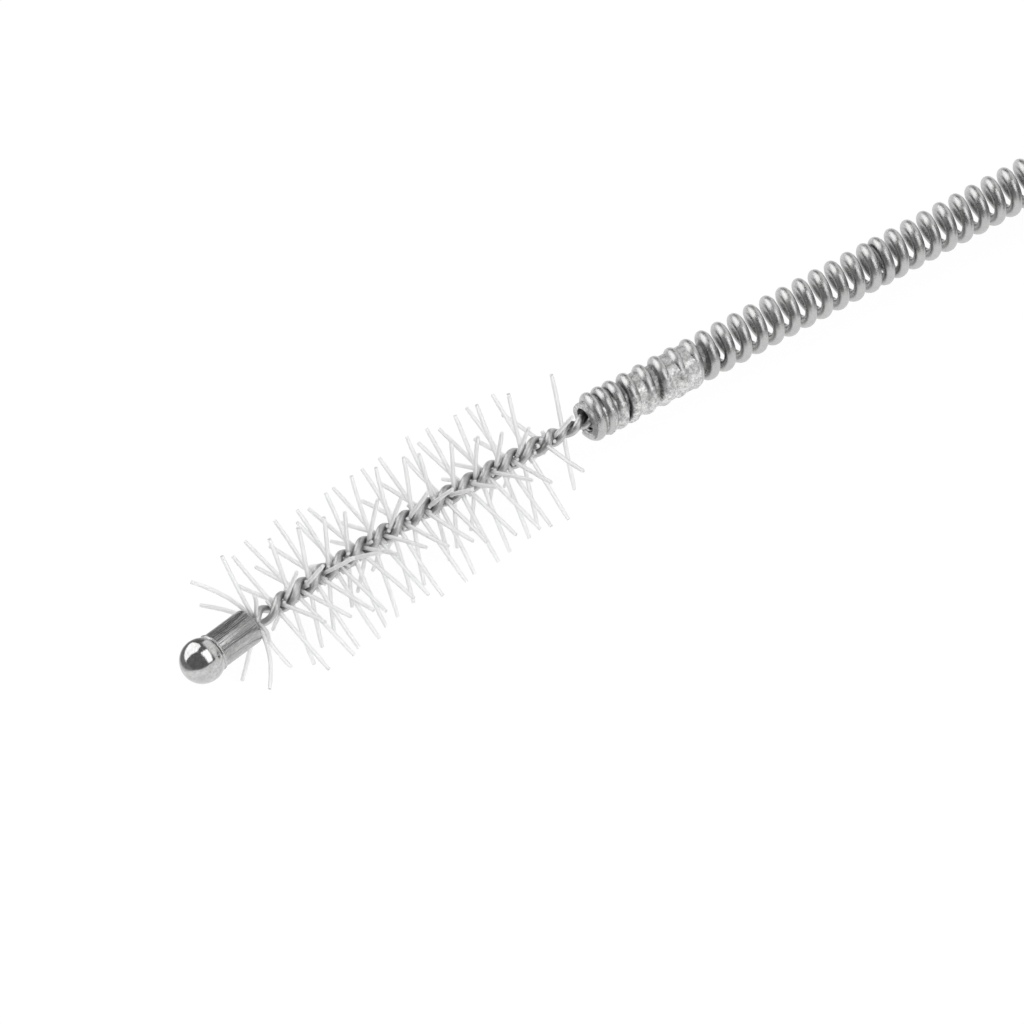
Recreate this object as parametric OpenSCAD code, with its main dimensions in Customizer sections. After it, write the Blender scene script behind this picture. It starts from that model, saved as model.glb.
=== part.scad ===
// Cleaning brush for the narrow channels of an endoscope, in millimetres.
// A ball tip and sleeve end a twisted wire stem with nylon bristles. The stem is soldered
// into an open-wound steel shaft, whose unused length is stored in a tied coil.
// The origin is on the table, under the middle of the head and the straight shaft.
// The shaft runs along +X, away from the ball, and the head bends a little towards -Y.

/* [Ball tip] */
// Diameter of the round tip
ball_d = 1.6; // [1.4:0.05:2]
// Outer diameter of the tip sleeve
sleeve_d = 1.3; // [1:0.05:1.35]
// Length of the tip sleeve
sleeve_len = 1.75; // [1.7:0.05:3]
// Depth of the drilling that takes the stem
sleeve_bore_depth = 1.4; // [0.8:0.1:1.5]
// Rounding of the sleeve's mouth
sleeve_edge = 0.12; // [0.05:0.01:0.18]
// Width of the weld ring between ball and sleeve
weld_w = 0.16; // [0.1:0.02:0.2]
// Height of the weld ring above the sleeve
weld_h = 0.04; // [0.02:0.01:0.06]

/* [Twisted stem] */
// Diameter of each stem wire
stem_wire_d = 0.28; // [0.22:0.01:0.32]
// Length of the stem between sleeve and shaft
stem_free = 14.5; // [11:0.05:18]
// Length of one full twist among the bristles
brush_pitch = 1.84; // [1.5:0.02:2.4]
// Length of one full twist where the stem is bare
bare_pitch = 1.26; // [1.1:0.02:1.8]
// Length of stem soldered inside the shaft
stem_seat = 4.4; // [3:0.1:4.8]
// Turn of the first stem wire at the shaft's mouth, in degrees
twist_phase = 55; // [0:5:355]
// Straight length of stem in front of the shaft
bend_start = 3; // [1:0.5:8]
// Radius of the slight bend in the rest of the stem
bend_radius = 75; // [40:5:300]

/* [Bristles] */
// Diameter over the bristle tips
bristle_d = 5.4; // [4:0.1:7]
// Diameter of one nylon filament
filament_d = 0.15; // [0.1:0.01:0.16]
// Distance along the stem from one filament to the next
filament_step = 0.22; // [0.18:0.01:0.4]
// Distance from the sleeve's mouth to the first filament
bristle_start = 0.3; // [0.26:0.01:0.6]
// Length of bare stem between the last filament and the shaft
bare_len = 1.6; // [1.2:0.1:4]
// How far off the stem's middle the tips were trimmed
trim_offset = 0.24; // [0:0.02:0.4]
// Side with the longer tips, in degrees round the stem
trim_side = 214; // [0:2:358]
// How far the tips of the first filaments sweep towards the ball
front_sweep = 1.8; // [0.6:0.1:2]
// How far the tips of the last filaments sweep towards the shaft
back_sweep = 0.9; // [0.4:0.1:1.2]

/* [Wound shaft] */
// Outer diameter of the shaft
shaft_d = 1.7; // [1.6:0.05:2.2]
// Diameter of the wire that the shaft is wound from
shaft_wire_d = 0.42; // [0.34:0.01:0.44]
// Number of close turns at the mouth
close_turns = 3; // [1:0.1:4]
// Pitch of the close turns
close_pitch = 0.46; // [0.45:0.01:0.6]
// Number of wider turns that are filled with solder
soldered_turns = 6; // [4:1:8]
// Pitch of the soldered turns
soldered_pitch = 0.66; // [0.58:0.01:0.8]
// Number of open turns of the straight shaft
open_turns = 22; // [14:1:26]
// Pitch of the open turns
open_pitch = 0.68; // [0.55:0.005:0.9]
// Turn of the shaft's wire end at the mouth, in degrees
shaft_phase = 275; // [0:5:355]
// Open turn after which one turn lies closer
tight_after = 9.7; // [2:0.1:12]
// Pitch of the turn that lies closer
tight_pitch = 0.48; // [0.46:0.01:0.55]

/* [Solder] */
// How far the solder lies below the crests of the turns
solder_drop = 0.06; // [0.02:0.01:0.12]
// How far the solder lies below the crests in its open grooves
groove_drop = 0.2; // [0.14:0.01:0.24]
// Depth of the open mouth in front of the solder
mouth_depth = 0.55; // [0.3:0.05:1]
// Slope of the solder's face in the mouth, in degrees
mouth_slope = 35; // [0:5:45]

/* [Stored coil] */
// Turns side by side in the coil
coil_columns = 4; // [3:1:6]
// Turns on top of each other in the coil
coil_layers = 9; // [6:1:10]
// Diameter of the coil at the middle of its turns
coil_mean_d = 20.4; // [20:0.1:24]
// Width of the tie that holds the coil
tie_w = 3; // [2:0.5:5]
// Thickness of the tie
tie_t = 0.3; // [0.2:0.05:0.5]
// Height of the tie's joined ends
tie_tab = 3; // [2:0.5:5]

/* [End ferrule] */
// Diameter of the ferrule on the shaft's far end
ferrule_d = 2; // [1.9:0.05:2.6]
// Length of the ferrule
ferrule_len = 9; // [6:0.5:14]
// Depth of the rolled crimps
crimp_depth = 0.08; // [0.04:0.01:0.15]
// Width of each rolled crimp
crimp_w = 0.7; // [0.6:0.1:1]
// Rounding of the ferrule's end
ferrule_edge = 0.4; // [0.2:0.05:0.6]

/* [Hidden] */
$fn = 48;

// Running gap between pieces that lie against each other
clearance = 0.006;
// Sides and rings per turn of the swept wires
stem_sides = 6;
stem_steps = 10;
shaft_sides = 8;
shaft_steps = 14;
cord_sides = 8;

// Route of the shaft from the straight part to the coil: the share of the way, and the
// share of the drop to the coil's lowest turns still to come
LEAD = [[0, 1], [0.27, 0.995], [0.55, 0.9], [0.82, 0.6], [1, 0.38]];
// From the end of the straight part to where the route meets the coil's outer turn
lead_run = 14;
// Route of the far end round the coil: degrees from +X, and its height above the middle
// of the ferrule that lies on the table
TAIL = [[30, 0.43], [18, 0.08], [6, 0]];
// From there straight to the ferrule
tail_run = 5;

ball_r = ball_d / 2;
sleeve_r = sleeve_d / 2;
stem_wire_r = stem_wire_d / 2;
filament_r = filament_d / 2;
bristle_r = bristle_d / 2;
shaft_wire_r = shaft_wire_d / 2;
shaft_r = shaft_d / 2;
ferrule_r = ferrule_d / 2;
crimp_r = crimp_w * crimp_w / (8 * crimp_depth) + crimp_depth / 2;

// The ball is cut flat where it meets the sleeve
weld_seat_r = sleeve_r - weld_h;
seat_x = sqrt(ball_r * ball_r - weld_seat_r * weld_seat_r);

// Distance of each stem wire from the stem's middle, bare and with filaments between
bare_offset = stem_wire_r + clearance;
brush_offset = stem_wire_r + filament_r + clearance;
sleeve_bore_r = bare_offset + stem_wire_r + clearance;
stem_end = stem_free + sleeve_bore_depth - stem_wire_r;

// Along the stem, distances run from the shaft's mouth towards the ball
first_filament = stem_free - bristle_start;
filament_count = floor((first_filament - bare_len) / filament_step) + 1;
front_count = 4;
back_count = 3;
// Lean of each straight filament in degrees, and how far each tip is trimmed
LEANS = rands(-6, 6, filament_count, 7);
TRIMS = rands(0.94, 1, 2 * filament_count, 11);

winding_r = shaft_r - shaft_wire_r;
winding_turns = close_turns + soldered_turns + open_turns;
winding_facet = winding_r * (1 - cos(180 / shaft_steps));
tight_turn = close_turns + soldered_turns + tight_after;
shaft_len = turn_x(winding_turns) + shaft_wire_r;

// Turns at which the solder starts, ends and leaves open grooves, with half a groove's width
solder_start = close_turns - 0.8;
solder_end = close_turns + soldered_turns - 0.9;
GROOVES = [[close_turns - 0.7, 0.3], [close_turns + 1.4, 0.4], [solder_end, 1]];

coil_step = shaft_d + 0.05;
coil_w = (coil_columns - 1) * coil_step;
coil_h = (coil_layers - 1) * coil_step;
coil_z = tie_t + clearance + shaft_r;
coil_outer_turn_r = coil_mean_d / 2 + coil_w / 2;
tail_r = coil_outer_turn_r + shaft_d + 0.07;
tie_angle = -120;

// The head's middle is set over the origin
head_z = bristle_r - trim_offset * sin(trim_side);
bend_angle = stem_turn(stem_free);
tip = stem_point(stem_free) - (sleeve_len + seat_x) * [cos(bend_angle), sin(bend_angle), 0];
mouth_at = [-(shaft_len + tip.x - ball_r) / 2, -stem_point(stem_free).y / 2, head_z];
lead_at = mouth_at + [shaft_len + clearance, 0, 0];
coil_at = [lead_at.x + lead_run, lead_at.y - coil_outer_turn_r, 0];
tail_at = coil_at + [tail_r, 0, ferrule_r];

function ramp(x) = let (c = min(max(x, 0), 1)) c * c * (3 - 2 * c);
function unit(v) = v / norm(v);
function deg(radians) = radians * 180 / PI;

// Heading of the stem in degrees and its middle, at a distance from the shaft's mouth
function stem_turn(u) = deg((min(max(u, bend_start), stem_free) - bend_start) / bend_radius);
function stem_point(u) =
    let (t = stem_turn(u), past = max(u - stem_free, 0), straight = min(u, bend_start))
    [-straight - bend_radius * sin(t) - past * cos(t),
     -bend_radius * (1 - cos(t)) - past * sin(t), 0];

// Angle of the first stem wire round the stem, left-handed, and its distance from the middle
function twist(u) = twist_phase + 360 * (u < bare_len ? u / bare_pitch
                                : bare_len / bare_pitch + (u - bare_len) / brush_pitch);
function offset_at(u) =
    let (from_sleeve = (stem_free - u) / (bristle_start - filament_r),
         from_shaft = (u - bare_len / 2) / (bare_len / 2 - filament_r))
    bare_offset + (brush_offset - bare_offset) * ramp(min(from_sleeve, from_shaft));
function stem_radial(u, angle) =
    let (t = stem_turn(u)) [-sin(t) * cos(angle), cos(t) * cos(angle), sin(angle)];
function strand_point(u, side) =
    stem_point(u) + offset_at(u) * stem_radial(u, twist(u) + side);

// Where the middle of the shaft's wire is after a number of turns
function turn_x(n) =
    shaft_wire_r + close_pitch * min(n, close_turns)
    + soldered_pitch * min(max(n - close_turns, 0), soldered_turns)
    + open_pitch * max(n - close_turns - soldered_turns, 0)
    - (open_pitch - tight_pitch) * min(max(n - tight_turn, 0), 1);
function turn_radial(n) = [0, cos(shaft_phase - 360 * n), sin(shaft_phase - 360 * n)];
function winding_point(n) = [turn_x(n), 0, 0] + winding_r * turn_radial(n);

// One closed ring of points round a path, and the rings along the whole path
function ring(middle, along, outward, r, sides) =
    let (side = unit(cross(along, outward)), out = cross(side, unit(along)))
    [for (k = [0:sides - 1]) middle + r * (cos(360 * k / sides) * out + sin(360 * k / sides) * side)];
function rings(path, outward, r, sides) =
    let (last = len(path) - 1)
    [for (i = [0:last])
        ring(path[i], path[min(i + 1, last)] - path[max(i - 1, 0)], outward[i], r, sides)];

// Skins a list of rings that all have as many points
module skin(loops) {
    n = len(loops[0]);
    m = len(loops);
    polyhedron(
        points = [for (loop = loops) each loop],
        faces = concat(
            [[for (k = [0:n - 1]) k], [for (k = [n - 1:-1:0]) (m - 1) * n + k]],
            [for (i = [0:m - 2], k = [0:n - 1]) let (a = i * n + k, b = i * n + (k + 1) % n)
                each [[a, a + n, b], [b, a + n, b + n]]]));
}

// Places a turned piece with its axis along the stem's end, from the middle of the ball
module at_tip() {
    translate(mouth_at + tip) rotate([0, 90, bend_angle]) children();
}

module tip_ball() {
    color("gainsboro") at_tip() rotate_extrude() intersection() {
        circle(ball_r);
        translate([0, -ball_r]) square([ball_r, ball_r + seat_x]);
    }
}

module tip_weld() {
    color("white") at_tip() rotate_extrude() difference() {
        translate([sleeve_r + weld_h - weld_w / 2, seat_x]) circle(weld_w / 2);
        circle(ball_r + clearance);
        translate([0, seat_x - clearance]) square([sleeve_r + clearance, sleeve_len]);
    }
}

module tip_sleeve() {
    point_depth = sleeve_bore_r / 2;
    color("darkgray") at_tip() translate([0, 0, seat_x]) rotate_extrude() difference() {
        square([sleeve_r, sleeve_len]);
        translate([0, sleeve_len - sleeve_bore_depth]) square([sleeve_bore_r, sleeve_len]);
        polygon([[0, sleeve_len - sleeve_bore_depth - point_depth],
                 [sleeve_bore_r, sleeve_len - sleeve_bore_depth],
                 [0, sleeve_len - sleeve_bore_depth]]);
        translate([sleeve_r - sleeve_edge, sleeve_len - sleeve_edge]) difference() {
            square(2 * sleeve_edge);
            circle(sleeve_edge);
        }
    }
}

module stem_wire(side) {
    turns = (twist(stem_end) - twist(-stem_seat)) / 360;
    count = ceil(turns * stem_steps);
    places = [for (i = [0:count]) -stem_seat + (stem_end + stem_seat) * i / count];
    color("silver") translate(mouth_at)
        skin(rings([for (u = places) strand_point(u, side)],
                   [for (u = places) stem_radial(u, twist(u) + side)], stem_wire_r, stem_sides));
}

module stem_wire_a() {
    stem_wire(0);
}

module stem_wire_b() {
    stem_wire(180);
}

// Places a filament's middle on the stem, with its length along Y and square to the wires
module at_stem(u) {
    translate(mouth_at + stem_point(u)) rotate([0, 0, stem_turn(u)])
        rotate([twist(u) + 90, 0, 0]) children();
}

// Distance from the stem to a trimmed tip that points at an angle round the stem
function reach(angle, trim) = trim * (bristle_r + trim_offset * cos(angle - trim_side));

// A straight filament through the stem, trimmed at both tips
module filament(i, u) {
    up = reach(twist(u) + 90, TRIMS[2 * i]) / cos(LEANS[i]);
    down = reach(twist(u) - 90, TRIMS[2 * i + 1]) / cos(LEANS[i]);
    rotate([0, 0, LEANS[i]]) translate([0, -down, 0]) rotate([-90, 0, 0])
        cylinder(d = filament_d, h = up + down);
}

// A filament bent to a bow, whose two tips sweep towards the ball, or the shaft if negative
module bowed_filament(i, sweep) {
    half_len = bristle_r * TRIMS[2 * i];
    bow_r = half_len * half_len / (2 * abs(sweep));
    half = deg(half_len / bow_r);
    rotate([0, 0, sweep < 0 ? 180 : 0]) translate([-bow_r, 0, 0]) rotate([0, 0, -half])
        rotate_extrude(angle = 2 * half) translate([bow_r, 0]) circle(d = filament_d);
}

module bristles() {
    color("whitesmoke") for (i = [front_count:filament_count - back_count - 1])
        let (u = first_filament - i * filament_step) at_stem(u) filament(i, u);
}

module splayed_bristles() {
    color("whitesmoke") {
        for (i = [0:front_count - 1])
            at_stem(first_filament - i * filament_step)
                bowed_filament(i, front_sweep * (1 - i / (front_count + 1)));
        for (k = [0:back_count - 1]) let (i = filament_count - 1 - k)
            at_stem(first_filament - i * filament_step)
                bowed_filament(i, -back_sweep * (1 - k / (back_count + 1)));
    }
}

module shaft_winding() {
    count = ceil(winding_turns * shaft_steps);
    turns = [for (i = [0:count]) winding_turns * i / count];
    color("silver") translate(mouth_at)
        skin(rings([for (n = turns) winding_point(n)], [for (n = turns) turn_radial(n)],
                   shaft_wire_r, shaft_sides));
}

// The solder between two turns follows the round sides of both wires
function solder_level(n) =
    let (groove = max([for (g = GROOVES) ramp(1.5 * (1 - abs(n - g[0]) / g[1]))]))
    shaft_r - solder_drop - (groove_drop - solder_drop) * groove;
function solder_ring(n) =
    let (middle = (turn_x(n) + turn_x(n + 1)) / 2, gap = (turn_x(n + 1) - turn_x(n)) / 2,
         wire = shaft_wire_r + clearance + winding_facet,
         slope = soldered_pitch / (2 * PI * winding_r), wide = wire * sqrt(1 + slope * slope),
         low = winding_r - 0.9 * shaft_wire_r, top = solder_level(n),
         levels = [for (k = [0:3]) low + (top - low) * k / 3],
         halves = [for (r = levels) gap - wide * sqrt(max(1 - pow((r - winding_r) / wire, 2), 0))])
    [for (k = [0:3]) [middle - halves[k], 0, 0] + levels[k] * turn_radial(n),
     for (k = [3:-1:0]) [middle + halves[k], 0, 0] + levels[k] * turn_radial(n)];

module solder_fill() {
    turns = solder_end - solder_start;
    count = ceil(turns * shaft_steps);
    color("lightgray") translate(mouth_at)
        skin([for (i = [0:count]) solder_ring(solder_start + turns * i / count)]);
}

// The solder round the stem inside the turns, with a sloping face in the mouth
module solder_core() {
    inner_r = sleeve_bore_r;
    outer_r = shaft_r - shaft_wire_d - clearance - winding_facet;
    core_end = turn_x(close_turns + soldered_turns);
    color("lightgray") translate(mouth_at) difference() {
        rotate([0, 90, 0]) difference() {
            cylinder(r = outer_r, h = core_end);
            translate([0, 0, -shaft_r]) cylinder(r = inner_r, h = core_end + shaft_d);
        }
        translate([mouth_depth, 0, 0]) rotate([0, mouth_slope, 0])
            translate([-4 * shaft_r, -shaft_r, -2 * shaft_r])
            cube([4 * shaft_r, shaft_d, 4 * shaft_r]);
    }
}

module shaft_lead() {
    // The solid lead ends beside the coil, short of its outer turn
    reach_x = lead_run - 2 * sqrt(coil_outer_turn_r * shaft_r) - 0.2;
    drop = head_z - coil_z;
    path = [for (p = LEAD) lead_at + [reach_x * p.x, 0, drop * (p.y - 1)]];
    color("silver") skin(rings(path, [for (p = path) [0, 1, 0]], shaft_r, cord_sides));
}

module shaft_coil() {
    inner = (coil_mean_d - coil_w) / 2;
    color("silver") translate(coil_at + [0, 0, coil_z]) rotate_extrude($fn = 96)
        translate([inner, 0]) {
            square([coil_w, coil_h]);
            for (i = [0:coil_columns - 1], k = [0:coil_layers - 1])
                translate([i, k] * coil_step) circle(shaft_r, $fn = 24);
        }
}

module shaft_tail() {
    path = concat([for (p = TAIL) tail_at + [tail_r * (cos(p.x) - 1), tail_r * sin(p.x), p.y]],
                  [for (k = [0:2]) tail_at - [0, tail_run * k / 2, 0]]);
    color("silver") skin(rings(path, [for (p = path) [0, 0, 1]], shaft_r, cord_sides));
}

module coil_tie() {
    inner_r = (coil_mean_d - coil_w) / 2 - shaft_r;
    from_x = sqrt(inner_r * inner_r - tie_w * tie_w / 4) - clearance;
    to_x = coil_outer_turn_r + shaft_r + clearance;
    high = coil_h + shaft_d + 2 * clearance;
    color("white") translate(coil_at) rotate([90, 0, tie_angle])
        translate([from_x, 0, -tie_w / 2]) linear_extrude(tie_w) {
            difference() {
                translate([-tie_t, 0]) square([to_x - from_x + 2 * tie_t, high + 2 * tie_t]);
                translate([0, tie_t]) square([to_x - from_x, high]);
            }
            translate([to_x - from_x + tie_t, high - tie_tab]) square([tie_t, tie_tab]);
        }
}

module end_ferrule() {
    color("gainsboro") translate(tail_at - [0, tail_run, 0]) rotate([90, 0, 0])
        rotate_extrude() difference() {
            square([ferrule_r, ferrule_len]);
            translate([ferrule_r - ferrule_edge, ferrule_len - ferrule_edge]) difference() {
                square(2 * ferrule_edge);
                circle(ferrule_edge);
            }
            for (k = [1.5, 3.5]) translate([ferrule_r - crimp_depth + crimp_r, k * crimp_w])
                circle(crimp_r);
        }
}

tip_ball();
tip_weld();
tip_sleeve();
stem_wire_a();
stem_wire_b();
bristles();
splayed_bristles();
shaft_winding();
solder_fill();
solder_core();
shaft_lead();
shaft_coil();
shaft_tail();
coil_tie();
end_ferrule();
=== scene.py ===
# Endoscope channel brush: ball tip, nylon bristles on a twisted stem, and a wound shaft
# whose unused length is stored in a tied coil. The solids come in first; this file dresses them.
import math

import bmesh
import bpy
import numpy as np
from mathutils import Matrix, Vector


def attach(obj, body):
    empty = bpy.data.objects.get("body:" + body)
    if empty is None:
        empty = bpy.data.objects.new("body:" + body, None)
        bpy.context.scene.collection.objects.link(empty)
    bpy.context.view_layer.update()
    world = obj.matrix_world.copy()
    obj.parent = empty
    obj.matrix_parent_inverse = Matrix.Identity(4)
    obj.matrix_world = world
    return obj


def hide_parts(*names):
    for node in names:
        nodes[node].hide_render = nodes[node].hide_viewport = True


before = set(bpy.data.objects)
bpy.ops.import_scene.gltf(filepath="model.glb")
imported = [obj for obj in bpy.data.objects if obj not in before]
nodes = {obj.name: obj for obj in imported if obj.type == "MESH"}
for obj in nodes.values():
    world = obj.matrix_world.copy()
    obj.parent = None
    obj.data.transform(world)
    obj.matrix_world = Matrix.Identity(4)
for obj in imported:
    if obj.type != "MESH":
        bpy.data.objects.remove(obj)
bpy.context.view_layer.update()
mm = 0.001

# Sizes that the solids share with this file, in millimetres
tip = {"ball": 1.6, "sleeve": 1.3, "sleeveLength": 1.75, "boreDepth": 1.4, "weldWidth": 0.16,
       "weldHeight": 0.04}
stem = {"wire": 0.28, "free": 14.5, "brushPitch": 1.84, "barePitch": 1.26, "seat": 4.4,
        "phase": 55, "bendStart": 3, "bendRadius": 75, "bare": 1.6, "start": 0.3}
brush = {"diameter": 5.4, "filament": 0.15, "offset": 0.24, "offsetSide": 214}
shaft = {"outer": 1.7, "wire": 0.42, "closeTurns": 3, "closePitch": 0.46, "solderTurns": 6,
         "solderPitch": 0.66, "openTurns": 22, "openPitch": 0.68, "phase": 275,
         "tightAfter": 9.7, "tightPitch": 0.48}
coil = {"columns": 4, "layers": 9, "meanDiameter": 20.4, "step": 1.75, "leadRun": 14,
        "tieThickness": 0.3, "crossing": 108, "tailGap": 0.07, "tailRun": 5}
ferrule = {"diameter": 2, "length": 9, "crimpDepth": 0.08, "crimpWidth": 0.7, "edge": 0.4}
gap = 0.006
tiny = 1e-7   # metres; corners closer than this are one


# Where the pieces are, in millimetres from the origin
def ramp(x):
    x = min(max(x, 0), 1)
    return x * x * (3 - 2 * x)


def turnX(n):
    inSolder = min(max(n - shaft["closeTurns"], 0), shaft["solderTurns"])
    inOpen = max(n - shaft["closeTurns"] - shaft["solderTurns"], 0)
    tight = shaft["closeTurns"] + shaft["solderTurns"] + shaft["tightAfter"]
    return (shaft["wire"] / 2 + shaft["closePitch"] * min(n, shaft["closeTurns"])
            + shaft["solderPitch"] * inSolder + shaft["openPitch"] * inOpen
            - (shaft["openPitch"] - shaft["tightPitch"]) * min(max(n - tight, 0), 1))


def stemTurn(u):
    return (min(max(u, stem["bendStart"]), stem["free"]) - stem["bendStart"]) / stem["bendRadius"]


def stemPoint(u):
    t, past, straight = stemTurn(u), max(u - stem["free"], 0), min(u, stem["bendStart"])
    return Vector((-straight - stem["bendRadius"] * math.sin(t) - past * math.cos(t),
                   -stem["bendRadius"] * (1 - math.cos(t)) - past * math.sin(t), 0))


def stemTwist(u):
    turns = (u / stem["barePitch"] if u < stem["bare"]
             else stem["bare"] / stem["barePitch"] + (u - stem["bare"]) / stem["brushPitch"])
    return math.radians(stem["phase"]) + 2 * math.pi * turns


def stemRadial(u, angle):
    t = stemTurn(u)
    return Vector((-math.sin(t) * math.cos(angle), math.cos(t) * math.cos(angle), math.sin(angle)))


ballR = tip["ball"] / 2
sleeveR = tip["sleeve"] / 2
seatX = math.sqrt(ballR ** 2 - (sleeveR - tip["weldHeight"]) ** 2)
bend = stemTurn(stem["free"])
windingTurns = shaft["closeTurns"] + shaft["solderTurns"] + shaft["openTurns"]
shaftLength = turnX(windingTurns) + shaft["wire"] / 2
ballFromMouth = (stemPoint(stem["free"])
                 - (tip["sleeveLength"] + seatX) * Vector((math.cos(bend), math.sin(bend), 0)))
headZ = brush["diameter"] / 2 - brush["offset"] * math.sin(math.radians(brush["offsetSide"]))
mouth = Vector((-(shaftLength + ballFromMouth.x - ballR) / 2, -stemPoint(stem["free"]).y / 2,
                headZ))
ballMiddle = mouth + ballFromMouth
tipPlace = Matrix.Translation(ballMiddle * mm) @ Matrix.Rotation(bend, 4, "Z") @ Matrix.Rotation(
    math.pi / 2, 4, "Y")
leadStart = mouth + Vector((shaftLength + gap, 0, 0))
outerTurnR = coil["meanDiameter"] / 2 + (coil["columns"] - 1) * coil["step"] / 2
tailR = outerTurnR + shaft["outer"] + coil["tailGap"]
coilMiddle = leadStart + Vector((coil["leadRun"], -outerTurnR, 0))
coilMiddle.z = 0
ferrulePlace = Matrix.Translation((
    coilMiddle + Vector((tailR, 0, ferrule["diameter"] / 2))) * mm) @ Matrix.Rotation(
        math.pi / 2, 4, "X")
lowestTurnZ = coil["tieThickness"] + gap + shaft["outer"] / 2


# Camera
photo = {"size": 1024, "pixelsPerMm": 29.2, "distance": 1500, "sensor": 36,
         "toward": (0.3648, 0.5210, -0.7716), "right": (0.8192, -0.5736, 0),
         "ballAt": (202.3, 660.7), "clip": (0.005, 20)}


def makeCamera():
    toward = Vector(photo["toward"]).normalized()
    right = Vector(photo["right"]).normalized()
    up = right.cross(toward).normalized()
    focal = photo["pixelsPerMm"] * photo["distance"]
    depth = photo["distance"] + (ballMiddle - Vector((0, 0, headZ))).dot(toward)
    across = (photo["ballAt"][0] - photo["size"] / 2) * depth / focal
    above = (photo["size"] / 2 - photo["ballAt"][1]) * depth / focal
    place = ballMiddle - toward * depth - right * across - up * above
    data = bpy.data.cameras.new("camera")
    data.sensor_width = photo["sensor"]
    data.lens = focal * photo["sensor"] / photo["size"]
    data.clip_start, data.clip_end = photo["clip"]
    camera = bpy.data.objects.new("camera", data)
    bpy.context.scene.collection.objects.link(camera)
    turned = Matrix((right, up, -toward)).transposed().to_4x4()
    camera.matrix_world = Matrix.Translation(place * mm) @ turned
    bpy.context.scene.camera = camera


makeCamera()
bpy.context.scene.view_settings.view_transform = "Standard"
print("camera set")


# Small helpers
def clearSelection():
    if bpy.context.object and bpy.context.object.mode != "OBJECT":
        bpy.ops.object.mode_set(mode="OBJECT")
    for item in list(bpy.context.selected_objects):
        item.select_set(False)


def only(piece):
    clearSelection()
    piece.select_set(True)
    bpy.context.view_layer.objects.active = piece


def applyModifiers(piece):
    only(piece)
    for modifier in list(piece.modifiers):
        bpy.ops.object.modifier_apply(modifier=modifier.name)


def putAt(piece, place):
    only(piece)
    piece.matrix_world = place @ piece.matrix_world
    bpy.ops.object.transform_apply(location=True, rotation=True, scale=True)


def faceOutwards(piece):
    only(piece)
    bpy.ops.object.mode_set(mode="EDIT")
    bpy.ops.mesh.select_all(action="SELECT")
    bpy.ops.mesh.normals_make_consistent(inside=False)
    bpy.ops.object.mode_set(mode="OBJECT")


def dress(piece, material, slot, *standsFor):
    piece.data.materials.clear()
    piece.data.materials.append(material)
    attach(piece, "root")
    if standsFor:
        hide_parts(*standsFor)


def addClouds(piece, name, size, strength, middle=0.5, where=""):
    clouds = bpy.data.textures.new(name, "CLOUDS")
    clouds.noise_scale = size * mm
    clouds.noise_depth = 2
    push = piece.modifiers.new(name, "DISPLACE")
    push.texture = clouds
    push.texture_coords = "LOCAL"
    push.strength = strength * mm
    push.mid_level = middle
    push.vertex_group = where


def wireCurve(name, lines, thickness, sides):
    # each line is a list of (point, share of the radius)
    data = bpy.data.curves.new(name, "CURVE")
    data.dimensions = "3D"
    data.bevel_depth = thickness / 2 * mm
    data.bevel_resolution = (sides - 4) // 2
    data.use_fill_caps = True
    data.twist_mode = "MINIMUM"
    for line in lines:
        spline = data.splines.new("POLY")
        spline.points.add(len(line) - 1)
        for spot, (at, thick) in zip(spline.points, line):
            spot.co = (*(at * mm), 1)
            spot.radius = thick
    piece = bpy.data.objects.new(name, data)
    bpy.context.scene.collection.objects.link(piece)
    only(piece)
    bpy.ops.object.convert(target="MESH")
    piece = bpy.context.object
    only(piece)
    bpy.ops.object.shade_smooth_by_angle(angle=math.radians(50))
    return piece


# The free shaft: lead, coil and tail
lead = [(0, 1), (2, 0.995), (4, 0.9), (6, 0.6), (8, 0.25), (10, 0.04), (12, 0)]
cordLook = {"pitch": 0.68, "ringsPerPitch": 5, "sides": 9, "hiddenStep": 2.7, "valley": 0.52,
            "pointStep": 12, "comesDown": 80, "rollsOff": 95, "aim": 0.2, "endsIn": 0.1}


def coilMoves():
    # wound inwards over the table, then in shells up and down from the inside out; each
    # entry: from and to, in degrees turned, then column and layer before and after
    moves, column, layer, way, done = [], 0, 0, 1, 360
    for i in range(coil["columns"] - 1):
        moves.append((done - coil["crossing"], done, column, column + 1, layer, layer))
        column += 1
        done += 360
    for k in range(coil["columns"]):
        done -= coil["crossing"]
        for i in range(coil["layers"] - (1 if k == 0 else 2)):
            moves.append((done - coil["crossing"], done, column, column, layer, layer + way))
            layer += way
            done += 360
        if k < coil["columns"] - 1:
            done -= coil["crossing"]
            moves.append((done - coil["crossing"], done, column, column - 1, layer, layer))
            column -= 1
            done += 360
            way = -way
    return moves


coilSteps = coilMoves()
tailLeaves = math.ceil(coilSteps[-1][1] / 360) * 360   # rolls off the second turn from here
tailMeets = tailLeaves + cordLook["comesDown"]   # and lies beside the lowest turn from here


def coilPlace(turned):
    column, layer = 0, 0
    for start, stop, c0, c1, l0, l1 in coilSteps:
        if turned <= start:
            break
        share = ramp((turned - start) / (stop - start))
        column, layer = c0 + (c1 - c0) * share, l0 + (l1 - l0) * share
    return column, layer


def coilPoint(turned):
    column, layer = coilPlace(turned)
    r, z = outerTurnR - column * coil["step"], lowestTurnZ + layer * coil["step"]
    if turned > tailLeaves:
        share = ramp((turned - tailLeaves) / cordLook["comesDown"])
        rolled = math.radians(cordLook["rollsOff"]) * share
        r += (tailR - outerTurnR) * math.sin(rolled)
        z = lowestTurnZ + coil["step"] * math.cos(rolled)
    angle = math.radians(90 - turned)
    return coilMiddle + Vector((r * math.cos(angle), r * math.sin(angle), z))


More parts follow.
